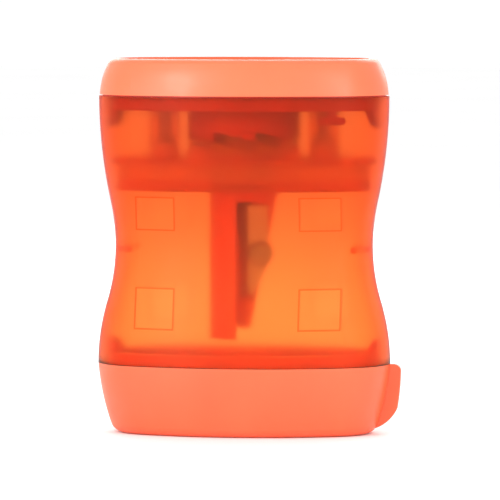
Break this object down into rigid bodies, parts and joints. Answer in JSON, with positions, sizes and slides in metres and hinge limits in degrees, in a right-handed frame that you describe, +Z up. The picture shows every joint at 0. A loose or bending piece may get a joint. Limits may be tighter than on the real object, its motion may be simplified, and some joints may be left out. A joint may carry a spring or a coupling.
{
  "type": "pencil sharpener",
  "caption": "Palm-held twist pencil sharpener with an hourglass see-through shavings container, a lift-off cap unit with a ratchet cutter cone, and a base cup.",
  "frame": {"origin": "middle of the base cup's standing face, on the pencil's axis", "axes": "+Z up along the pencil's axis, X along the oval with the pull fin at +X, -Y the front"},
  "size_m": [0.061, 0.034, 0.075],
  "materials": {
    "coral_plastic": "satin moulded coral plastic",
    "coral_frame": "satin moulded deep coral plastic",
    "coral_rotor": "satin moulded deep coral plastic",
    "orange_clear": "see-through orange plastic, lightly frosted",
    "blade_steel": "ground steel",
    "screw_steel": "zinc-plated steel",
    "spring_steel": "bright spring wire"
  },
  "bodies": {
    "base": {"base_cup": "coral_plastic"},
    "container": {"container": "orange_clear"},
    "top_unit": {"cap_shell": "coral_plastic", "pencil_funnel": "coral_plastic", "cap_frame": "coral_frame", "bearing_deck": "orange_clear", "deck_screws": "screw_steel", "ratchet_spring": "spring_steel"},
    "ratchet_carriage": {"spring_washer": "spring_steel"},
    "rotor": {"ratchet_sleeve": "coral_rotor", "retaining_clip": "spring_steel", "cutter_cone": "coral_rotor", "blade": "blade_steel", "blade_screw": "screw_steel"}
  },
  "joints": [
    {"name": "container_lift", "type": "slide", "parent": "base", "child": "container", "axis": [0, 0, 1], "range_m": [0, 0.025]},
    {"name": "top_lift", "type": "slide", "parent": "container", "child": "top_unit", "axis": [0, 0, 1], "range_m": [0, 0.05]},
    {"name": "cutter_press", "type": "slide", "parent": "top_unit", "child": "ratchet_carriage", "axis": [0, 0, -1], "range_m": [0, 0.0022], "stiffness_N_per_m": 300, "springref_m": -0.0015, "deforming": ["ratchet_spring"]},
    {"name": "rotor_spin", "type": "hinge", "parent": "ratchet_carriage", "child": "rotor", "pos_m": [0, 0, 0.055], "axis": [0, 0, 1], "continuous": true}
  ]
}
